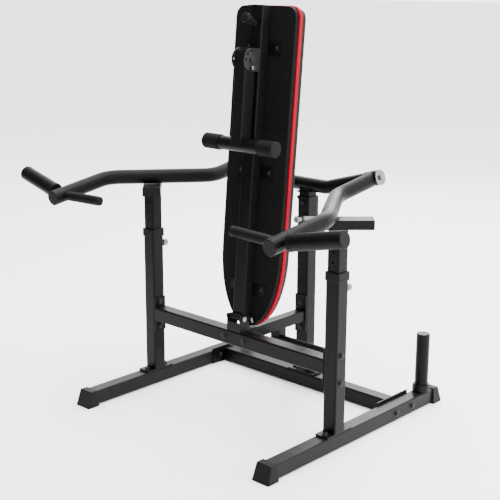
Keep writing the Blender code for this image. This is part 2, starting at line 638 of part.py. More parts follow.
def make_spine(bench):
    """Bench tube with the hinge barrel at its foot and three flat straps for the pad."""
    middle = SPINE_FRONT + SPINE_DEPTH / 2
    bm = square_bar(SPINE_WIDTH, SPINE_DEPTH, (0, middle, SPINE_BOTTOM), SPINE_TOP - SPINE_BOTTOM, "Z",
                    corner=0.004)
    rear = SPINE_FRONT + SPINE_DEPTH
    for height in STRAPS:
        bm = union(bm, box((-0.078, rear - 0.001, height - 0.018), (0.078, rear + STRAP_THICK - 0.0005,
                                                                    height + 0.018)))
    bore = box((-SPINE_WIDTH / 2 + WALL, SPINE_FRONT + WALL, SPINE_BOTTOM + 0.004),
               (SPINE_WIDTH / 2 - WALL, rear - WALL, SPINE_TOP + 0.01))
    bm = cut(bm, bore)
    bm = union(bm, rod((-0.0250, 0, 0), (1, 0, 0), 0.0500, 0.0100, sides=20),
               box((-0.0220, -0.0040, 0.0020), (0.0220, 0.0300, 0.0140)))
    bm = cut(bm, rod((-0.05, 0, 0), (1, 0, 0), 0.1, 0.0054, sides=16))
    finish("spine", bm, STEEL, bench)


def make_spine_cap(bench):
    middle = SPINE_FRONT + SPINE_DEPTH / 2
    flange = square_bar(SPINE_WIDTH, SPINE_DEPTH, (0, middle, SPINE_TOP + GAP), 0.003, "Z", corner=0.004)
    plug = square_bar(SPINE_WIDTH - 2 * WALL - 0.001, SPINE_DEPTH - 2 * WALL - 0.001,
                      (0, middle, SPINE_TOP - 0.012), 0.013, "Z", corner=0.002)
    finish("spine_cap", union(flange, plug), PLASTIC, bench)


def make_pad(bench):
    """Board, red trim layer and cushion, stacked behind the spine."""
    start = SPINE_FRONT + SPINE_DEPTH + STRAP_THICK
    board = slab(pad_outline(0), start, BOARD_THICK - GAP)
    finish("pad_board", board, FABRIC, bench)
    start += BOARD_THICK
    finish("pad_trim", slab(pad_outline(TRIM_PROUD), start, TRIM_THICK - GAP), RED, bench)
    start += TRIM_THICK
    cushion = slab(pad_outline(0), start, CUSHION_THICK)
    far = [e for e in cushion.edges if min(v.co.y for v in e.verts) > start + CUSHION_THICK / 2]
    bmesh.ops.bevel(cushion, geom=far, offset=0.012, segments=3, affect="EDGES", profile=0.5, material=-1)
    finish("pad_cushion", cushion, LEATHER, bench)


def make_pull_handle(bench):
    """Flared knob on a short neck, high on the spine's front, for folding the bench down."""
    tilt = radians(20)
    direction = (0, -cos(tilt), sin(tilt))
    profile = ((0, 0), (0.0095, 0), (0.0105, 0.020), (0.0150, 0.042), (0.0160, 0.050), (0.0150, 0.056),
               (0.0100, 0.058), (0, 0.058))
    neck = turned(profile, (0, SPINE_FRONT - 0.001, 0.962), direction, sides=20)
    face = box((-0.05, SPINE_FRONT - GAP, 0.90), (0.05, SPINE_FRONT + 0.05, 1.05))
    finish("pull_handle", cut(neck, face), RUBBER, bench)


def make_hinge_plate(name, side, bench):
    """D-shaped lug on the spine's front face, with pivot and detent holes."""
    flat = SPINE_FRONT - GAP
    outline = [(flat, LEG_Z + LUG_RADIUS)]
    for step in range(13):
        turn = pi / 2 + step / 12 * pi
        outline.append((LEG_Y + LUG_RADIUS * cos(turn), LEG_Z + LUG_RADIUS * sin(turn)))
    outline.append((flat, LEG_Z - LUG_RADIUS))
    start = LUG_INNER if side > 0 else -LUG_INNER - 0.0038
    bm = side_plate(outline, start, 0.0038)
    bm = cut(bm, rod((-0.05, LEG_Y, LEG_Z), (1, 0, 0), 0.1, 0.0055, sides=16))
    detents = [(LEG_Y + 0.0265 * cos(radians(turn)), LEG_Z + 0.0265 * sin(radians(turn)))
               for turn in (100, 140, 180, 270)]
    bm = cut(bm, gathered([rod((-0.05, y, z), (1, 0, 0), 0.1, 0.0040, sides=12) for y, z in detents]))
    finish(name, bm, DARK_STEEL, bench)


def make_leg_hardware(bench):
    """Pivot bolt of the folding leg and the spring pin that locks it."""
    head = LUG_INNER + 0.0038 + GAP
    bolt = ((0, -head - 0.006), (0.0085, -head - 0.006), (0.0085, -head), (0.0050, -head), (0.0050, head),
            (0.0090, head), (0.0090, head + 0.005), (0.0060, head + 0.007), (0, head + 0.007))
    finish("leg_pivot_bolt", turned(bolt, (0, LEG_Y, LEG_Z), (1, 0, 0), sides=16), DARK_STEEL, bench)
    pin = ((0, LUG_INNER + 0.001), (0.0036, LUG_INNER + 0.001), (0.0036, head + 0.001),
           (0.0075, head + 0.001), (0.0075, head + 0.009), (0.0055, head + 0.011), (0, head + 0.011))
    bm = turned(pin, (0, LEG_Y, LEG_Z - 0.0265), (1, 0, 0), sides=12)
    finish("leg_lock_pin", bm, CHROME, bench)


def make_leg(leg):
    """Folding leg with its cross foot bar; modelled about its own pivot."""
    top = 0.024
    bm = square_bar(LEG_WIDTH, LEG_DEPTH, (0, 0, -LEG_REACH), LEG_REACH + top, "Z", corner=0.004)
    bm = union(bm, rod((-FOOT_BAR_HALF, 0, -LEG_REACH), (1, 0, 0), 2 * FOOT_BAR_HALF, FOOT_BAR_RADIUS))
    bore = box((-LEG_WIDTH / 2 + WALL, -LEG_DEPTH / 2 + WALL, -LEG_REACH + FOOT_BAR_RADIUS),
               (LEG_WIDTH / 2 - WALL, LEG_DEPTH / 2 - WALL, top + 0.01))
    bm = cut(bm, bore)
    bar_bore = rod((-FOOT_BAR_HALF - 0.01, 0, -LEG_REACH), (1, 0, 0), 2 * FOOT_BAR_HALF + 0.02,
                   FOOT_BAR_RADIUS - 0.0025)
    bm = cut(bm, bar_bore, rod((-0.05, 0, 0), (1, 0, 0), 0.1, 0.0056, sides=16))
    finish("leg_frame", bm, STEEL, leg)


def make_foot_grip(name, side, leg):
    """Ribbed rubber end on the leg's foot bar."""
    rib = FOOT_GRIP_LENGTH / 7
    inner_end = FOOT_BAR_HALF + GAP
    start = inner_end + 0.004 - FOOT_GRIP_LENGTH
    profile = [(FOOT_BAR_RADIUS + GAP, 0)]
    for number in range(7):
        low = number * rib
        profile += [(FOOT_GRIP_RADIUS - 0.0012, low + 0.001), (FOOT_GRIP_RADIUS, low + 0.003),
                    (FOOT_GRIP_RADIUS, low + rib - 0.002)]
    profile[1:2] = [(FOOT_GRIP_RADIUS - 0.0012, 0)]
    profile += [(FOOT_GRIP_RADIUS - 0.002, FOOT_GRIP_LENGTH), (0, FOOT_GRIP_LENGTH),
                (0, FOOT_GRIP_LENGTH - 0.004), (FOOT_BAR_RADIUS + GAP, FOOT_GRIP_LENGTH - 0.004)]
    bm = bmesh.new()
    points = [bm.verts.new((radius, 0, height)) for radius, height in profile]
    edges = [bm.edges.new(pair) for pair in zip(points, points[1:] + points[:1])]
    on_axis = [e for e in edges if all(v.co.x < 0.0001 for v in e.verts)]
    bmesh.ops.delete(bm, geom=on_axis, context="EDGES")
    bmesh.ops.spin(bm, geom=bm.verts[:] + bm.edges[:], cent=(0, 0, 0), axis=(0, 0, 1), angle=2 * pi,
                   steps=20, use_merge=True)
    bmesh.ops.remove_doubles(bm, verts=bm.verts, dist=0.00001)
    bmesh.ops.transform(bm, matrix=along((side, 0, 0), (side * start, 0, -LEG_REACH)), verts=bm.verts)
    finish(name, bm, RUBBER, leg)


# ---------------------------------------------------------------- assembly
clear_scene()

STEEL = material("black_powder_coat", (0.030, 0.030, 0.032), 0.45, 0.2)
ARM_STEEL = material("graphite_powder_coat", (0.060, 0.060, 0.063), 0.38, 0.3)
DARK_STEEL = material("blackened_steel", (0.045, 0.045, 0.048), 0.40, 0.6)
CHROME = material("chromed_steel", (0.60, 0.60, 0.62), 0.22, 1.0)
PLASTIC = material("moulded_black_plastic", (0.020, 0.020, 0.021), 0.55)
RUBBER = material("black_rubber", (0.028, 0.028, 0.029), 0.75)
FABRIC = material("black_backing_fabric", (0.012, 0.012, 0.013), 0.95)
LEATHER = material("dark_grey_vinyl", (0.050, 0.053, 0.055), 0.50)
RED = material("red_vinyl", (0.62, 0.020, 0.030), 0.40)

for side, word in ((-1, "left"), (1, "right")):
    make_rail(f"rail_{word}", side)
    make_foot(f"foot_front_{word}", side, -1)
    make_foot(f"foot_rear_{word}", side, 1)
    make_upright(f"upright_{word}", side * HALF_TRACK, 0, FRONT_TOP, PIN_Z, 1, TUBE / 2, 0.060)
    make_collar(f"collar_{word}", side * HALF_TRACK, 0, FRONT_TOP)
    make_pin_housing(f"pin_housing_{word}", side * HALF_TRACK, 0, PIN_Z, 1)
    make_plate_peg(f"plate_peg_{word}", side)
    pin_axis = empty(f"pin_axis_{word}", (side * HALF_TRACK, TUBE / 2, PIN_Z))
    make_pull_knob(f"pull_knob_{word}", side * HALF_TRACK, 0, PIN_Z, 1, pin_axis)
    post_axis = empty(f"post_axis_{word}", (side * HALF_TRACK, 0, POST_BOTTOM))
    make_front_post(f"post_{word}", side, post_axis)
    make_rest_cap(f"rest_cap_inner_{word}", side, -1, post_axis)
    make_rest_cap(f"rest_cap_outer_{word}", side, 1, post_axis)

make_floor_beam()
make_front_beam()
make_rear_beam()
back_strip = box((-0.020, REAR_Y + TUBE / 2 - 0.001, 0.627), (0.020, REAR_Y + TUBE / 2 + 0.010, 0.692))
make_upright("rear_upright", 0, REAR_Y, REAR_TOP, REAR_PIN_Z, -1, 0.060, TUBE / 2, back_strip)
make_collar("collar_rear", 0, REAR_Y, REAR_TOP, REAR_COLLAR_DROP, REAR_COLLAR_RISE)
make_pin_housing("pin_housing_rear", 0, REAR_Y, REAR_PIN_Z, -1)
rear_pin_axis = empty("pin_axis_rear", (0, REAR_Y - TUBE / 2, REAR_PIN_Z))
make_pull_knob("pull_knob_rear", 0, REAR_Y, REAR_PIN_Z, -1, rear_pin_axis)

rear_post_axis = empty("rear_post_axis", (0, REAR_Y, REAR_POST_BOTTOM))
make_rear_post(rear_post_axis)
for side, word in ((-1, "left"), (1, "right")):
    make_pivot_hardware(side, word, rear_post_axis)
    arm_axis = empty(f"arm_axis_{word}", cross_point(side, PIVOT_REACH))
    make_arm(side, word, arm_axis)
    make_arm_fittings(side, word, arm_axis)

make_bench_bracket()
make_hinge_pin()
make_bench_lock_pin()
bench_axis = empty("bench_axis", (0, HINGE_Y, HINGE_Z), -LEAN)
make_spine(bench_axis)
make_spine_cap(bench_axis)
make_pad(bench_axis)
make_pull_handle(bench_axis)
make_hinge_plate("hinge_plate_left", -1, bench_axis)
make_hinge_plate("hinge_plate_right", 1, bench_axis)
make_leg_hardware(bench_axis)
leg_axis = empty("leg_axis", (0, LEG_Y, LEG_Z))
leg_axis.parent = bench_axis
make_leg(leg_axis)
make_foot_grip("foot_grip_left", -1, leg_axis)
make_foot_grip("foot_grip_right", 1, leg_axis)

for obj in bpy.context.scene.objects:
    if obj.parent is None:
        obj.location.y -= MIDDLE_Y
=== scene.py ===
# %% [markdown]
# # A lever-arm press machine
#
# The steelwork arrives finished: it is packed as named pieces that already stand in the
# right places. This lesson gives it its looks. It paints the steel, adds the fasteners,
# upholsters the folding bench and lights a pale studio. Everything is in metres, with Z up.

import json
from math import cos, pi, radians, sin

import bmesh
import bpy
from mathutils import Matrix, Vector


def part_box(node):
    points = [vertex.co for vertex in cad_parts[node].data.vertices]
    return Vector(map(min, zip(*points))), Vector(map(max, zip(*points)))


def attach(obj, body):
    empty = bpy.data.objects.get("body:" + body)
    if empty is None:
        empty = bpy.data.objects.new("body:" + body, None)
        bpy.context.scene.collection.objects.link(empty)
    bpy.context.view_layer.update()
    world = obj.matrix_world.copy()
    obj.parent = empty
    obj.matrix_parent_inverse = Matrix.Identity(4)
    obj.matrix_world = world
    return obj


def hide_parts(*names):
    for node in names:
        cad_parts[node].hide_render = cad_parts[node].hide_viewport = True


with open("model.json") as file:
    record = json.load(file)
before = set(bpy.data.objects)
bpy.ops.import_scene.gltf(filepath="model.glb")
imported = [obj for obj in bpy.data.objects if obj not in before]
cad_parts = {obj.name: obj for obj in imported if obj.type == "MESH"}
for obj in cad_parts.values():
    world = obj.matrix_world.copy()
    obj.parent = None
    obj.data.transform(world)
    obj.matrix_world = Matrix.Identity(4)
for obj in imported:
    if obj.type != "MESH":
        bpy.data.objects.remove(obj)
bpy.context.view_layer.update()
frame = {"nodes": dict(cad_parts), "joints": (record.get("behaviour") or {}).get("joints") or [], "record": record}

# %% [markdown]
# ## Places to work from
#
# Bolts and screws sit on faces that the steelwork already has. Reading those faces from the
# pieces' boxes keeps every fastener on its metal, even if a size changes later.

# %% Read the faces and the bench's hinge


def face(node, axis, end):
    """One side of a piece's box: axis 0, 1 or 2, end 0 for the low side and 1 for the high."""
    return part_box(node)[end][axis]


def middle(node):
    low, high = (Vector(corner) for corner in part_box(node))
    return (low + high) / 2


joints = {joint["name"]: joint for joint in frame["joints"]}
BENCH_LEAN = radians(5)
bench_place = Matrix.Translation(joints["bench_fold"]["pos_m"]) @ Matrix.Rotation(-BENCH_LEAN, 4, "X")
print("bench hinge at", [round(v, 3) for v in bench_place.translation])

# %% [markdown]
# ## Shader groups
#
# Painted steel, rubber and vinyl share a few habits: a fine grain, paler edges where hands and
# plates have rubbed, and a little dust on what faces up. Each habit is built once as a node
# group with named inputs, so that every material can use it in its own strength.

# %% A helper that starts a shader group
SOCKET_KIND = {"f": "NodeSocketFloat", "c": "NodeSocketColor", "v": "NodeSocketVector"}


def shader_group(name, inputs, outputs):
    """A node group with the given sockets; each input is (name, kind, default)."""
    group = bpy.data.node_groups.new(name, "ShaderNodeTree")
    for socket_name, kind, default in inputs:
        socket = group.interface.new_socket(socket_name, in_out="INPUT", socket_type=SOCKET_KIND[kind])
        if default is not None:
            socket.default_value = default
    for socket_name, kind in outputs:
        group.interface.new_socket(socket_name, in_out="OUTPUT", socket_type=SOCKET_KIND[kind])
    entry, leave = group.nodes.new("NodeGroupInput"), group.nodes.new("NodeGroupOutput")
    return group, entry, leave


def node(tree, kind, **values):
    """Add a node and set its properties, or its inputs where the name is a socket's."""
    made = tree.nodes.new(kind)
    for key, value in values.items():
        if key in made.inputs:
            made.inputs[key].default_value = value
        else:
            setattr(made, key, value)
    return made


def arithmetic(tree, operation, first, second):
    """A Math node; a socket is linked and a number is set."""
    made = node(tree, "ShaderNodeMath", operation=operation)
    for socket, value in zip(made.inputs, (first, second)):
        if isinstance(value, (int, float)):
            socket.default_value = value
        else:
            tree.links.new(value, socket)
    return made.outputs[0]


# %% Fine grain, for powder coat and moulded plastic
def make_grain():
    group, entry, leave = shader_group(
        "fine grain", [("Scale", "f", 900.0), ("Depth", "f", 0.5)], [("Height", "f"), ("Mottle", "f")])
    place = node(group, "ShaderNodeTexCoord")
    grain = node(group, "ShaderNodeTexNoise", Detail=3.0, Roughness=0.6)
    group.links.new(place.outputs["Object"], grain.inputs["Vector"])
    group.links.new(entry.outputs["Scale"], grain.inputs["Scale"])
    height = arithmetic(group, "MULTIPLY", grain.outputs["Fac"], entry.outputs["Depth"])
    group.links.new(height, leave.inputs["Height"])
    broad = node(group, "ShaderNodeTexNoise", Scale=9.0, Detail=4.0)
    group.links.new(place.outputs["Object"], broad.inputs["Vector"])
    group.links.new(broad.outputs["Fac"], leave.inputs["Mottle"])
    return group


GRAIN = make_grain()
print("grain sockets:", [s.name for s in GRAIN.interface.items_tree])


# %% Edge wear, which rubs the paint thin on corners
EDGE_START, EDGE_FULL = 0.52, 0.60     # pointiness where wear begins and where it is complete


def make_wear():
    group, entry, leave = shader_group(
        "edge wear", [("Amount", "f", 0.5), ("Breakup", "f", 60.0)], [("Mask", "f")])
    shape = node(group, "ShaderNodeNewGeometry")
    place = node(group, "ShaderNodeTexCoord")
    broken = node(group, "ShaderNodeTexNoise", Detail=5.0)
    group.links.new(place.outputs["Object"], broken.inputs["Vector"])
    group.links.new(entry.outputs["Breakup"], broken.inputs["Scale"])
    edge = node(group, "ShaderNodeMapRange")
    for socket, value in (("From Min", EDGE_START), ("From Max", EDGE_FULL)):
        edge.inputs[socket].default_value = value
    group.links.new(shape.outputs["Pointiness"], edge.inputs["Value"])
    patchy = arithmetic(group, "MULTIPLY", edge.outputs["Result"], broken.outputs["Fac"])
    group.links.new(arithmetic(group, "MULTIPLY", patchy, entry.outputs["Amount"]), leave.inputs["Mask"])
    return group


WEAR = make_wear()


# %% Dust, which settles on what faces up
def make_dust():
    group, entry, leave = shader_group("settled dust", [("Amount", "f", 0.1)], [("Mask", "f")])
    shape = node(group, "ShaderNodeNewGeometry")
    up = node(group, "ShaderNodeSeparateXYZ")
    group.links.new(shape.outputs["Normal"], up.inputs[0])
    facing = arithmetic(group, "MAXIMUM", up.outputs["Z"], 0.0)
    place = node(group, "ShaderNodeTexCoord")
    speckle = node(group, "ShaderNodeTexNoise", Scale=35.0, Detail=6.0, Roughness=0.7)
    group.links.new(place.outputs["Object"], speckle.inputs["Vector"])
    lying = arithmetic(group, "MULTIPLY", facing, speckle.outputs["Fac"])
    group.links.new(arithmetic(group, "MULTIPLY", lying, entry.outputs["Amount"]), leave.inputs["Mask"])
    return group


DUST = make_dust()

# %% [markdown]
# ## Finishes
#
# One function lays the shared effects over a plain surface. Wear and dust are mixed into the
# colour, mottling shifts the roughness, and the grain becomes a very shallow bump. Sheen and
# coat are constants, so they are set on the shader itself.


# %% A material from the shared effects
DUST_COLOUR = (0.33, 0.32, 0.30, 1)
MOTTLE_SPREAD = 0.14                   # how far the tint strays each way from its colour
ROUGHNESS_SPREAD = 0.16


def finish_material(name, colour, roughness, metallic=0.0, grain=900.0, depth=0.4, wear=0.3,
                    worn=(0.20, 0.20, 0.21), dust=0.08, bump=0.0004, **constants):
    mat = bpy.data.materials.new(name)
    mat.use_nodes = True
    tree = mat.node_tree
    surface = tree.nodes["Principled BSDF"]
    surface.inputs["Metallic"].default_value = metallic
    for socket, value in constants.items():
        surface.inputs[socket.replace("_", " ")].default_value = value
    texture = node(tree, "ShaderNodeGroup", node_tree=GRAIN, Scale=grain, Depth=depth)
    edges = node(tree, "ShaderNodeGroup", node_tree=WEAR, Amount=wear)
    settled = node(tree, "ShaderNodeGroup", node_tree=DUST, Amount=dust)

    tint = node(tree, "ShaderNodeMix", data_type="RGBA", blend_type="MIX")
    tint.inputs[6].default_value = (*[c * (1 - MOTTLE_SPREAD) for c in colour], 1)
    tint.inputs[7].default_value = (*[min(1, c * (1 + MOTTLE_SPREAD)) for c in colour], 1)
    tree.links.new(texture.outputs["Mottle"], tint.inputs[0])
    rubbed = node(tree, "ShaderNodeMix", data_type="RGBA", blend_type="MIX")
    rubbed.inputs[7].default_value = (*worn, 1)
    tree.links.new(edges.outputs["Mask"], rubbed.inputs[0])
    tree.links.new(tint.outputs[2], rubbed.inputs[6])
    dusty = node(tree, "ShaderNodeMix", data_type="RGBA", blend_type="MIX")
    dusty.inputs[7].default_value = DUST_COLOUR
    tree.links.new(settled.outputs["Mask"], dusty.inputs[0])
    tree.links.new(rubbed.outputs[2], dusty.inputs[6])
    tree.links.new(dusty.outputs[2], surface.inputs["Base Color"])

    spread = arithmetic(tree, "MULTIPLY", texture.outputs["Mottle"], ROUGHNESS_SPREAD)
    rough = arithmetic(tree, "ADD", spread, roughness - ROUGHNESS_SPREAD / 2)
    tree.links.new(arithmetic(tree, "ADD", rough, settled.outputs["Mask"]), surface.inputs["Roughness"])
    relief = node(tree, "ShaderNodeBump", Strength=1.0, Distance=bump)
    tree.links.new(texture.outputs["Height"], relief.inputs["Height"])
    tree.links.new(relief.outputs["Normal"], surface.inputs["Normal"])
    return mat


# %% Steel, plastic and rubber
frame_coat = finish_material("black powder coat", (0.0013, 0.0013, 0.0014), 0.36, grain=1100, depth=0.5,
                            worn=(0.02, 0.02, 0.021), dust=0.003, Specular_IOR_Level=0.08)
arm_coat = finish_material("graphite powder coat", (0.0018, 0.0018, 0.0020), 0.42, grain=1300, depth=0.35,
                           worn=(0.02, 0.02, 0.021), dust=0.003, Specular_IOR_Level=0.06)
black_oxide = finish_material("black oxide steel", (0.004, 0.004, 0.0045), 0.36, metallic=0.25, wear=0.6,
                              worn=(0.04, 0.04, 0.042), dust=0.003, Specular_IOR_Level=0.16)
plated = finish_material("plated steel", (0.17, 0.17, 0.175), 0.24, metallic=1.0, grain=500, depth=0.2,
                         wear=0.0, dust=0.04, bump=0.0001)
moulded = finish_material("moulded plastic", (0.0016, 0.0016, 0.0017), 0.50, grain=700, depth=0.8, wear=0.12,
                          worn=(0.018, 0.018, 0.018), dust=0.003, Specular_IOR_Level=0.09)
rubber = finish_material("black rubber", (0.0020, 0.0020, 0.0021), 0.62, grain=450, depth=0.9, wear=0.08,
                         worn=(0.015, 0.015, 0.015), dust=0.003, Specular_IOR_Level=0.09)
print("finishes so far:", len(bpy.data.materials))

# %% [markdown]
# ## Upholstery
#
# Vinyl has a leather grain: small rounded cells parted by creases. A Voronoi texture's distance
# to its cells' edges gives just that. The backing is a coarse non-woven cloth, which is a
# tighter, fuzzier grain with a little sheen.


# %% Leather grain as a group
def make_leather_grain():
    group, entry, leave = shader_group("leather grain", [("Scale", "f", 420.0)], [("Height", "f")])
    place = node(group, "ShaderNodeTexCoord")
    cells = node(group, "ShaderNodeTexVoronoi", feature="DISTANCE_TO_EDGE")
    group.links.new(place.outputs["Object"], cells.inputs["Vector"])
    group.links.new(entry.outputs["Scale"], cells.inputs["Scale"])
    crease = node(group, "ShaderNodeMapRange", interpolation_type="SMOOTHSTEP")
    crease.inputs["From Max"].default_value = 0.22
    group.links.new(cells.outputs["Distance"], crease.inputs["Value"])
    group.links.new(crease.outputs["Result"], leave.inputs["Height"])
    return group


LEATHER_GRAIN = make_leather_grain()


def vinyl(name, colour, roughness, relief=0.00025, gloss=0.15):
    """Vinyl: the shared finish with its bump taken from the leather grain."""
    mat = finish_material(name, colour, roughness, wear=0.10, worn=[min(1, c * 1.6) for c in colour],
                          dust=0.005, Specular_IOR_Level=gloss)
    tree = mat.node_tree
    cells = node(tree, "ShaderNodeGroup", node_tree=LEATHER_GRAIN)
    bump_node = next(n for n in tree.nodes if n.bl_idname == "ShaderNodeBump")
    bump_node.inputs["Distance"].default_value = relief
    tree.links.new(cells.outputs["Height"], bump_node.inputs["Height"])
    return mat


grey_vinyl = vinyl("dark grey vinyl", (0.0036, 0.0038, 0.0042), 0.50, gloss=0.07)
black_vinyl = vinyl("black vinyl", (0.0012, 0.0012, 0.0013), 0.50, gloss=0.06)
red_vinyl = vinyl("red vinyl", (0.21, 0.0005, 0.0095), 0.62, relief=0.00015, gloss=0.03)
backing_cloth = finish_material("backing cloth", (0.0012, 0.0012, 0.0013), 0.92, grain=260, depth=1.0,
                                wear=0.0, dust=0.008, bump=0.0012, Sheen_Weight=0.04, Sheen_Roughness=0.5,
                                Specular_IOR_Level=0.06)

# %% Give every piece of steelwork its finish
SLOT_FINISH = {
    "black_powder_coat": frame_coat, "graphite_powder_coat": arm_coat, "blackened_steel": black_oxide,
    "chromed_steel": plated, "moulded_black_plastic": moulded, "black_rubber": rubber,
    "black_backing_fabric": backing_cloth, "dark_grey_vinyl": grey_vinyl, "red_vinyl": red_vinyl,
}
for part in frame["record"]["subparts"]:
    mesh = frame["nodes"][part["node"]].data
    mesh.materials.clear()
    mesh.materials.append(SLOT_FINISH[part["material_slot"]])

# %% [markdown]
# ## Fasteners
#
# The beams are bolted to the uprights. A hex bolt is a washer under a six-sided head whose top
# is chamfered, with a shallow dish pressed in it. Bolts of one body are gathered in one mesh,
# because they never move apart.


# %% One bolt, and a mesh that gathers bolts
def pour(one, target):
    """Add a small bmesh to a larger one, and free the small one."""
    mesh = bpy.data.meshes.new("one of many")
    one.to_mesh(mesh)
    one.free()
    target.from_mesh(mesh)
    bpy.data.meshes.remove(mesh)


WASHER_THICKNESS, WASHER_LIFT, HEAD_LIFT = 0.0014, 0.0010, 0.0017
CHAMFER, DISH_DEPTH = 0.0009, 0.0006


def add_bolt(target, point, direction, head=0.0085, height=0.0055):
    """Add a washer and a chamfered hex head to a bmesh, standing on a point of a face."""
    turn = Vector(direction).to_track_quat("Z", "Y").to_matrix().to_4x4()
    place = Matrix.Translation(point) @ turn
    one = bmesh.new()
    bmesh.ops.create_cone(one, cap_ends=True, segments=28, radius1=head * 1.28, radius2=head * 1.22,
                          depth=WASHER_THICKNESS, matrix=Matrix.Translation((0, 0, WASHER_LIFT)))
    middle_height = HEAD_LIFT + height / 2
    hexagon = bmesh.ops.create_cone(one, cap_ends=True, segments=6, radius1=head, radius2=head,
                                    depth=height, matrix=Matrix.Translation((0, 0, middle_height)))
    top = max((f for v in hexagon["verts"] for f in v.link_faces), key=lambda f: f.calc_center_median().z)
    bmesh.ops.bevel(one, geom=list(top.edges), offset=CHAMFER, segments=2, affect="EDGES",
                    profile=0.5, material=-1)
    top = max(one.faces, key=lambda f: f.calc_center_median().z)
    bmesh.ops.inset_region(one, faces=[top], thickness=head * 0.30, depth=-DISH_DEPTH)
    bmesh.ops.transform(one, matrix=place, verts=one.verts)
    pour(one, target)


def new_piece(name, bm, mat, body, smooth=30):
    """A finished piece at the origin that moves with a body."""
    bmesh.ops.recalc_face_normals(bm, faces=bm.faces)
    mesh = bpy.data.meshes.new(name)
    bm.to_mesh(mesh)
    bm.free()
    mesh.materials.append(mat)
    mesh.shade_smooth()
    mesh.set_sharp_from_angle(angle=radians(smooth))
    obj = bpy.data.objects.new(name, mesh)
    bpy.context.scene.collection.objects.link(obj)
    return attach(obj, body)


# %% Bolts through the uprights and rails
BEAM_AXIS_Z = 0.270                    # height of the front and rear beams' middle line
FRONT_BEAM_BOLTS = (0.043, -0.047)     # above and below that line
FLOOR_BEAM_BOLTS = (-0.043, 0.047)     # ahead of and behind the floor beam's middle
BASE_PLATE_BOLTS = (-0.043, 0.043)     # ahead of and behind an upright
FLANGE_THICKNESS = 0.004
BASE_THICKNESS = 0.006
TUBE_HALF = 0.025
bolts = bmesh.new()
for side, word in ((-1, "left"), (1, "right")):
    upright = middle(f"upright_{word}")
    outer = face(f"rail_{word}", 0, 1 if side > 0 else 0)
    inner = side * (abs(face("front_beam", 0, 1)) - FLANGE_THICKNESS)
    for offset in FRONT_BEAM_BOLTS:
        add_bolt(bolts, (outer, upright.y, BEAM_AXIS_Z + offset), (side, 0, 0))
        add_bolt(bolts, (inner, upright.y, BEAM_AXIS_Z + offset), (-side, 0, 0))
    beam = middle("floor_beam")
    rail = middle(f"rail_{word}")
    for along in FLOOR_BEAM_BOLTS:
        add_bolt(bolts, (outer, beam.y + along, rail.z), (side, 0, 0))
        add_bolt(bolts, (inner, beam.y + along, rail.z), (-side, 0, 0))
    plate_top = face(f"upright_{word}", 2, 0) + BASE_THICKNESS
    for along in BASE_PLATE_BOLTS:
        add_bolt(bolts, (upright.x, upright.y + along, plate_top), (0, 0, 1))
print("bolts on the sides:", len(bolts.verts))

# %% Bolts on the middle beams
MIDDLE_BOLTS = (-0.045, 0.045)         # left and right of the machine's middle
REAR_FLANGE_BOLTS = (0.318, 0.2285)    # heights on the rear upright
floor_beam_y = middle("floor_beam").y
for across in MIDDLE_BOLTS:
    add_bolt(bolts, (across, face("front_beam", 1, 0), BEAM_AXIS_Z + 0.001), (0, -1, 0))
    add_bolt(bolts, (across, face("rear_beam", 1, 0) + FLANGE_THICKNESS, BEAM_AXIS_Z + 0.001), (0, 1, 0))
    rear_plate_top = face("rear_upright", 2, 0) + BASE_THICKNESS
    add_bolt(bolts, (across, floor_beam_y, rear_plate_top), (0, 0, 1))
for height in REAR_FLANGE_BOLTS:
    add_bolt(bolts, (0, floor_beam_y + TUBE_HALF, height), (0, 1, 0))
    add_bolt(bolts, (0, face("rear_beam", 1, 1) - FLANGE_THICKNESS, height), (0, -1, 0))
SET_SCREW_X, SET_SCREW_Z = -0.005, 0.680
add_bolt(bolts, (SET_SCREW_X, floor_beam_y - TUBE_HALF, SET_SCREW_Z), (0, -1, 0))
new_piece("frame_bolts", bolts, black_oxide, "frame")
print("bolt mesh done")

# %% [markdown]
# ## The folding bench
#
# The back pad is a layered sandwich. A board is wrapped in black vinyl, its front is covered
# by a panel of black cloth, a red band runs round the edge, and the cushion sits behind.
# Wrapped corners are soft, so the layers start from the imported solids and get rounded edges.


# %% Copy a layer's solid and round its edges
def layer_mesh(node_name):
    """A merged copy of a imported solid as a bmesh; its loose triangles become whole faces."""
    bm = bmesh.new()
    bm.from_mesh(frame["nodes"][node_name].data)
    bmesh.ops.remove_doubles(bm, verts=bm.verts, dist=0.00001)
    bmesh.ops.dissolve_limit(bm, angle_limit=radians(1), verts=bm.verts, edges=bm.edges)
    return bm


def round_layer(node_name, radius, segments=4):
    """The layer with its outer rims rounded by a radius."""
    bm = layer_mesh(node_name)
    rims = [e for e in bm.edges if len(e.link_faces) == 2 and e.calc_face_angle(0) > radians(60)]
    bmesh.ops.bevel(bm, geom=rims, offset=radius, segments=segments, affect="EDGES",
                    profile=0.5, material=-1)
    return bm


BOARD_ROUNDING, BAND_ROUNDING = 0.003, 0.0022
board_bm = round_layer("pad_board", BOARD_ROUNDING)
board = new_piece("wrapped_board", board_bm, black_vinyl, "bench_body", smooth=50)
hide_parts("pad_board")
band_bm = round_layer("pad_trim", BAND_ROUNDING)
band = new_piece("red_band", band_bm, red_vinyl, "bench_body", smooth=50)
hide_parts("pad_trim")
print("board faces:", len(board.data.polygons), "band faces:", len(band.data.polygons))

# %% [markdown]
# The cloth panel is stapled over the board's front and stops short of its edge. Insetting the
# board's own front face gives a panel of exactly the right outline, whatever the board's shape.

# %% The cloth panel on the board's front
BORDER = 0.012
PANEL_RISE = 0.0009
bench_forward = bench_place.to_3x3() @ Vector((0, -1, 0))


def front_face(bm):
    """The broadest face that looks towards the machine's front."""
    ahead = [f for f in bm.faces if f.normal.dot(bench_forward) > 0.99]
    return max(ahead, key=lambda f: f.calc_area())


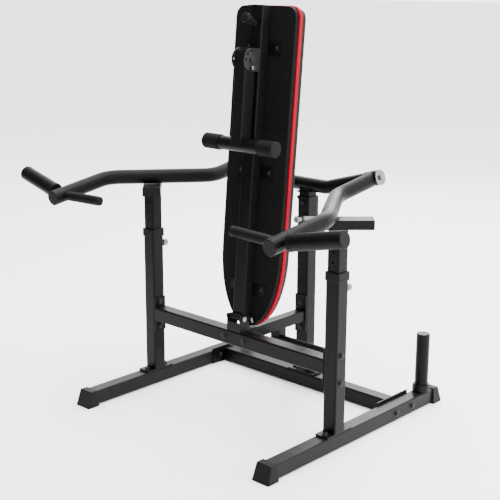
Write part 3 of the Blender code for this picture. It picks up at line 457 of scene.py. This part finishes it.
panel_bm = layer_mesh("pad_board")
bmesh.ops.recalc_face_normals(panel_bm, faces=panel_bm.faces)
kept = front_face(panel_bm)
bmesh.ops.delete(panel_bm, geom=[f for f in panel_bm.faces if f is not kept], context="FACES")
kept = panel_bm.faces[:][0]
inset = bmesh.ops.inset_region(panel_bm, faces=[kept], thickness=BORDER)
bmesh.ops.delete(panel_bm, geom=inset["faces"], context="FACES")
rise = bmesh.ops.extrude_face_region(panel_bm, geom=panel_bm.faces[:])
moved = [g for g in rise["geom"] if isinstance(g, bmesh.types.BMVert)]
bmesh.ops.translate(panel_bm, verts=moved, vec=bench_forward * PANEL_RISE)
panel = new_piece("cloth_panel", panel_bm, backing_cloth, "bench_body", smooth=40)
print("panel faces:", len(panel.data.polygons))

# %% [markdown]
# A cushion is foam pulled into a skin. Cloth simulation gives that for real: the solid is
# remeshed evenly, blown up from inside with a slight pressure, and its flat side, which is
# glued to the board, is held still. A limit on how far any point may travel keeps it close to
# its solid.

# %% Build the cushion from its solid
VOXEL = 0.005
SHRINK = 0.0008                        # room that the skin is given before it swells
SWELL_LIMIT = 0.0020                   # as far as any point may travel
GLUED_DEPTH = 0.003
PRESSURE = 4
TICKS = 20
cushion_bm = layer_mesh("pad_cushion")
bmesh.ops.recalc_face_normals(cushion_bm, faces=cushion_bm.faces)
cushion_mesh = bpy.data.meshes.new("cushion")
cushion_bm.to_mesh(cushion_mesh)
cushion_bm.free()
cushion = bpy.data.objects.new("cushion", cushion_mesh)
bpy.context.scene.collection.objects.link(cushion)
remesh = cushion.modifiers.new("even skin", "REMESH")
remesh.mode = "VOXEL"
remesh.voxel_size = VOXEL
even = bpy.data.meshes.new_from_object(cushion.evaluated_get(bpy.context.evaluated_depsgraph_get()))
cushion.modifiers.clear()
cushion.data = even
to_bench = bench_place.inverted()
local = [to_bench @ v.co for v in even.vertices]
low_y, high_y = min(p.y for p in local), max(p.y for p in local)
print("cushion skin:", len(even.vertices), "thickness:", round(high_y - low_y, 4))

# %% Blow it up, cap the swell and keep the result
held = cushion.vertex_groups.new(name="glued side")
glued = [v.index for v, p in zip(even.vertices, local) if p.y < low_y + GLUED_DEPTH]
held.add(glued, 1.0, "REPLACE")
outward = [v.normal.copy() for v in even.vertices]
start = []
for v, p, n in zip(even.vertices, local, outward):
    share = min(1.0, (p.y - low_y) / (high_y - low_y))
    start.append(v.co - n * SHRINK * share)
even.vertices.foreach_set("co", [c for p in start for c in p])
even.update()
cloth = cushion.modifiers.new("skin", "CLOTH")
cloth.settings.use_pressure = True
cloth.settings.uniform_pressure_force = PRESSURE
cloth.settings.effector_weights.gravity = 0
cloth.settings.vertex_group_mass = "glued side"
cloth.point_cache.frame_start, cloth.point_cache.frame_end = 1, TICKS
for tick in range(1, TICKS + 1):
    bpy.context.scene.frame_set(tick)
blown = bpy.data.meshes.new_from_object(cushion.evaluated_get(bpy.context.evaluated_depsgraph_get()))
cushion.modifiers.clear()
kept_places = []
for was, now in zip(start, blown.vertices):
    step = now.co - was
    kept_places.append(was + step.normalized() * min(step.length, SWELL_LIMIT))
even.vertices.foreach_set("co", [c for p in kept_places for c in p])
even.update()
bpy.context.scene.frame_set(1)
even.materials.clear()
even.materials.append(grey_vinyl)
even.shade_smooth()
smoother = cushion.modifiers.new("soft skin", "SUBSURF")
smoother.levels = smoother.render_levels = 1
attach(cushion, "bench_body")
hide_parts("pad_cushion")
print("cushion ready")

# %% [markdown]
# Screws hold the straps to the board. Each head is the cap of a ball, like a pan head's. Six
# of them sit in the straps' ends, so their places come from the bench's own frame.

# %% Strap screws
STRAP_HEIGHTS = (0.099, 0.491, 0.890)
SCREW_ACROSS = (-0.060, 0.060)
STRAP_FACE_Y = 0.0422                  # the straps' front, in the bench's own frame
HEAD_BALL, CAP_START = 0.0075, 0.003
screws = bmesh.new()
turn = bench_forward.to_track_quat("Z", "Y").to_matrix().to_4x4()
for height in STRAP_HEIGHTS:
    for across in SCREW_ACROSS:
        place = bench_place @ Vector((across, STRAP_FACE_Y, height))
        one = bmesh.new()
        bmesh.ops.create_uvsphere(one, u_segments=20, v_segments=10, radius=HEAD_BALL)
        everything = one.verts[:] + one.edges[:] + one.faces[:]
        bmesh.ops.bisect_plane(one, geom=everything, plane_co=(0, 0, CAP_START),
                               plane_no=(0, 0, 1), clear_inner=True)
        rim = [e for e in one.edges if e.is_boundary]
        bmesh.ops.contextual_create(one, geom=rim)
        bmesh.ops.translate(one, verts=one.verts, vec=(0, 0, -CAP_START))
        bmesh.ops.transform(one, matrix=Matrix.Translation(place) @ turn, verts=one.verts)
        pour(one, screws)
new_piece("strap_screws", screws, black_oxide, "bench_body")
print("strap screws done")

# %% [markdown]
# ## Hand grips
#
# The rubber hand grips are plain sleeves in the steelwork. A real one is moulded with shallow
# rings that stop a hand from sliding. Rings are quick to turn: one small profile, spun about
# the grip's axis and repeated along it.

# %% Rings along the hand grips
RING_COUNT = 18
GRIP_RADIUS = 0.0150
RING_RADIUS, RING_SINK = 0.0013, 0.0005
PLAIN_ENDS = 0.036                     # the grip's length that has no rings, both ends together


def grip_rings(word, side):
    """Thin raised rings along one hand grip, from its box's outer end to its inner end."""
    low, high = (Vector(c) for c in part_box(f"hand_grip_{word}"))
    arm_end, free_end = (high.x, low.x) if side > 0 else (low.x, high.x)
    centre_y, centre_z = (low.y + high.y) / 2, (low.z + high.z) / 2
    tilt_y = ((high.y - low.y) - 2 * GRIP_RADIUS) / abs(high.x - low.x)
    tilt_z = ((high.z - low.z) - 2 * GRIP_RADIUS) / abs(high.x - low.x)
    heading = Vector((-side, max(tilt_y, 0), max(tilt_z, 0))).normalized()
    centre = Vector(((arm_end + free_end) / 2, centre_y, centre_z))
    turn = heading.to_track_quat("Z", "Y").to_matrix().to_4x4()
    span = abs(free_end - arm_end) - PLAIN_ENDS
    section_place = Matrix.Translation((GRIP_RADIUS - RING_SINK, 0, 0)) @ Matrix.Rotation(pi / 2, 4, "X")
    rings = bmesh.new()
    for number in range(RING_COUNT):
        offset = (number / (RING_COUNT - 1) - 0.5) * span
        one = bmesh.new()
        bmesh.ops.create_circle(one, segments=8, radius=RING_RADIUS, matrix=section_place)
        bmesh.ops.spin(one, geom=one.verts[:] + one.edges[:], cent=(0, 0, 0), axis=(0, 0, 1),
                       angle=2 * pi, steps=32, use_merge=True)
        bmesh.ops.transform(one, matrix=Matrix.Translation(centre + heading * offset) @ turn, verts=one.verts)
        pour(one, rings)
    return rings


for side, word in ((-1, "left"), (1, "right")):
    ringed = new_piece(f"grip_rings_{word}", grip_rings(word, side), rubber, f"{word}_arm_body", smooth=60)
print("grip rings:", RING_COUNT, "a side")

# %% [markdown]
# ## Studio
#
# A dark object on a white ground wants broad, soft light. The floor reaches far back into a sky that is
# bright behind and to the right. The sky dims towards the front left, and there the floor's colour is
# painted dark as painted shade, so that the steel's front faces mirror something dark and its right-hand
# faces something pale. A wide light overhead, one from the side and one from behind draw the highlights along the
# tubes.

# %% Floor and sky
FLOOR_HALF = 60.0
PAINTED_SHADE_SIDE = (-0.40, -0.92, 0.0)        # painted shade: the floor's colour darkens this way, so front faces mirror a dark ground
FADE_START, FADE_END = 1.05, 3.2       # metres from the middle of the machine
# the floor's white, and the near-black painted on it as shade towards the front left
WHITE, PAINTED_SHADE = 0.92, 0.04
ground = bmesh.new()
bmesh.ops.create_grid(ground, x_segments=1, y_segments=1, size=FLOOR_HALF)
print("floor spans", 2 * FLOOR_HALF, "metres")
floor_mesh = bpy.data.meshes.new("floor")
ground.to_mesh(floor_mesh)
ground.free()
floor = bpy.data.objects.new("floor", floor_mesh)
bpy.context.scene.collection.objects.link(floor)
floor_paint = bpy.data.materials.new("studio white with painted shade")
floor_paint.use_nodes = True
floor_tree = floor_paint.node_tree
floor_surface = floor_tree.nodes["Principled BSDF"]
floor_surface.inputs["Roughness"].default_value = 0.9
# The floor's colour fades from white into painted shade with distance towards the front left.
where = node(floor_tree, "ShaderNodeTexCoord")
away = node(floor_tree, "ShaderNodeVectorMath", operation="DOT_PRODUCT")
away.inputs[1].default_value = PAINTED_SHADE_SIDE
floor_tree.links.new(where.outputs["Object"], away.inputs[0])
painted_shade_fade = node(floor_tree, "ShaderNodeMapRange", interpolation_type="SMOOTHSTEP")
for socket, value in (("From Min", FADE_START), ("From Max", FADE_END), ("To Min", WHITE), ("To Max", PAINTED_SHADE)):
    painted_shade_fade.inputs[socket].default_value = value
floor_tree.links.new(away.outputs["Value"], painted_shade_fade.inputs["Value"])
floor_tree.links.new(painted_shade_fade.outputs["Result"], floor_surface.inputs["Base Color"])
floor_mesh.materials.append(floor_paint)

world = bpy.data.worlds.new("studio")
bpy.context.scene.world = world
world.use_nodes = True
sky_tree = world.node_tree
sky = sky_tree.nodes["Background"]
sky.inputs["Color"].default_value = (1, 1, 1, 1)
direction = node(sky_tree, "ShaderNodeTexCoord")
BRIGHT_SIDE = (0.6, 0.8, 0.0)
SKY_DARK, SKY_BRIGHT = 0.5, 4.5
towards = node(sky_tree, "ShaderNodeVectorMath", operation="DOT_PRODUCT")
towards.inputs[1].default_value = BRIGHT_SIDE
sky_tree.links.new(direction.outputs["Generated"], towards.inputs[0])
strength = node(sky_tree, "ShaderNodeMapRange", interpolation_type="SMOOTHSTEP")
for socket, value in (("From Min", -0.5), ("From Max", 0.1), ("To Min", SKY_DARK), ("To Max", SKY_BRIGHT)):
    strength.inputs[socket].default_value = value
sky_tree.links.new(towards.outputs["Value"], strength.inputs["Value"])
sky_tree.links.new(strength.outputs["Result"], sky.inputs["Strength"])


# %% Lights
LIT_POINT = Vector((0, 0, 0.7))


def soft_light(name, location, size, power):
    lamp = bpy.data.lights.new(name, "AREA")
    lamp.shape, lamp.size, lamp.energy = "SQUARE", size, power
    obj = bpy.data.objects.new(name, lamp)
    obj.location = location
    obj.rotation_mode = "QUATERNION"
    obj.rotation_quaternion = (LIT_POINT - Vector(location)).to_track_quat("-Z", "Y")
    bpy.context.scene.collection.objects.link(obj)


soft_light("overhead", (0.2, 0.3, 4.6), 4.5, 520)
soft_light("side", (4.2, 1.4, 1.8), 2.2, 150)
soft_light("rim", (-1.6, 3.6, 2.4), 1.6, 110)

# %% Camera
camera_data = bpy.data.cameras.new("camera")
camera_data.lens = 76.26
camera = bpy.data.objects.new("camera", camera_data)
bpy.context.scene.collection.objects.link(camera)
CAMERA_PLACE = Vector((2.3352, -2.5333, 1.4379))
PITCH, HEADING, ROLL = radians(14.361), radians(43.026), radians(0.219)
ahead = Vector((-sin(HEADING) * cos(PITCH), cos(HEADING) * cos(PITCH), -sin(PITCH)))
across = Vector((cos(HEADING), sin(HEADING), 0))
upward = across.cross(ahead)
turned_across = across * cos(ROLL) + upward * sin(ROLL)
turned_up = upward * cos(ROLL) - across * sin(ROLL)
axes = Matrix((turned_across, turned_up, -ahead)).transposed()
camera.matrix_world = Matrix.Translation(CAMERA_PLACE) @ axes.to_4x4()
bpy.context.scene.camera = camera
print("camera at", [round(v, 3) for v in camera.location])
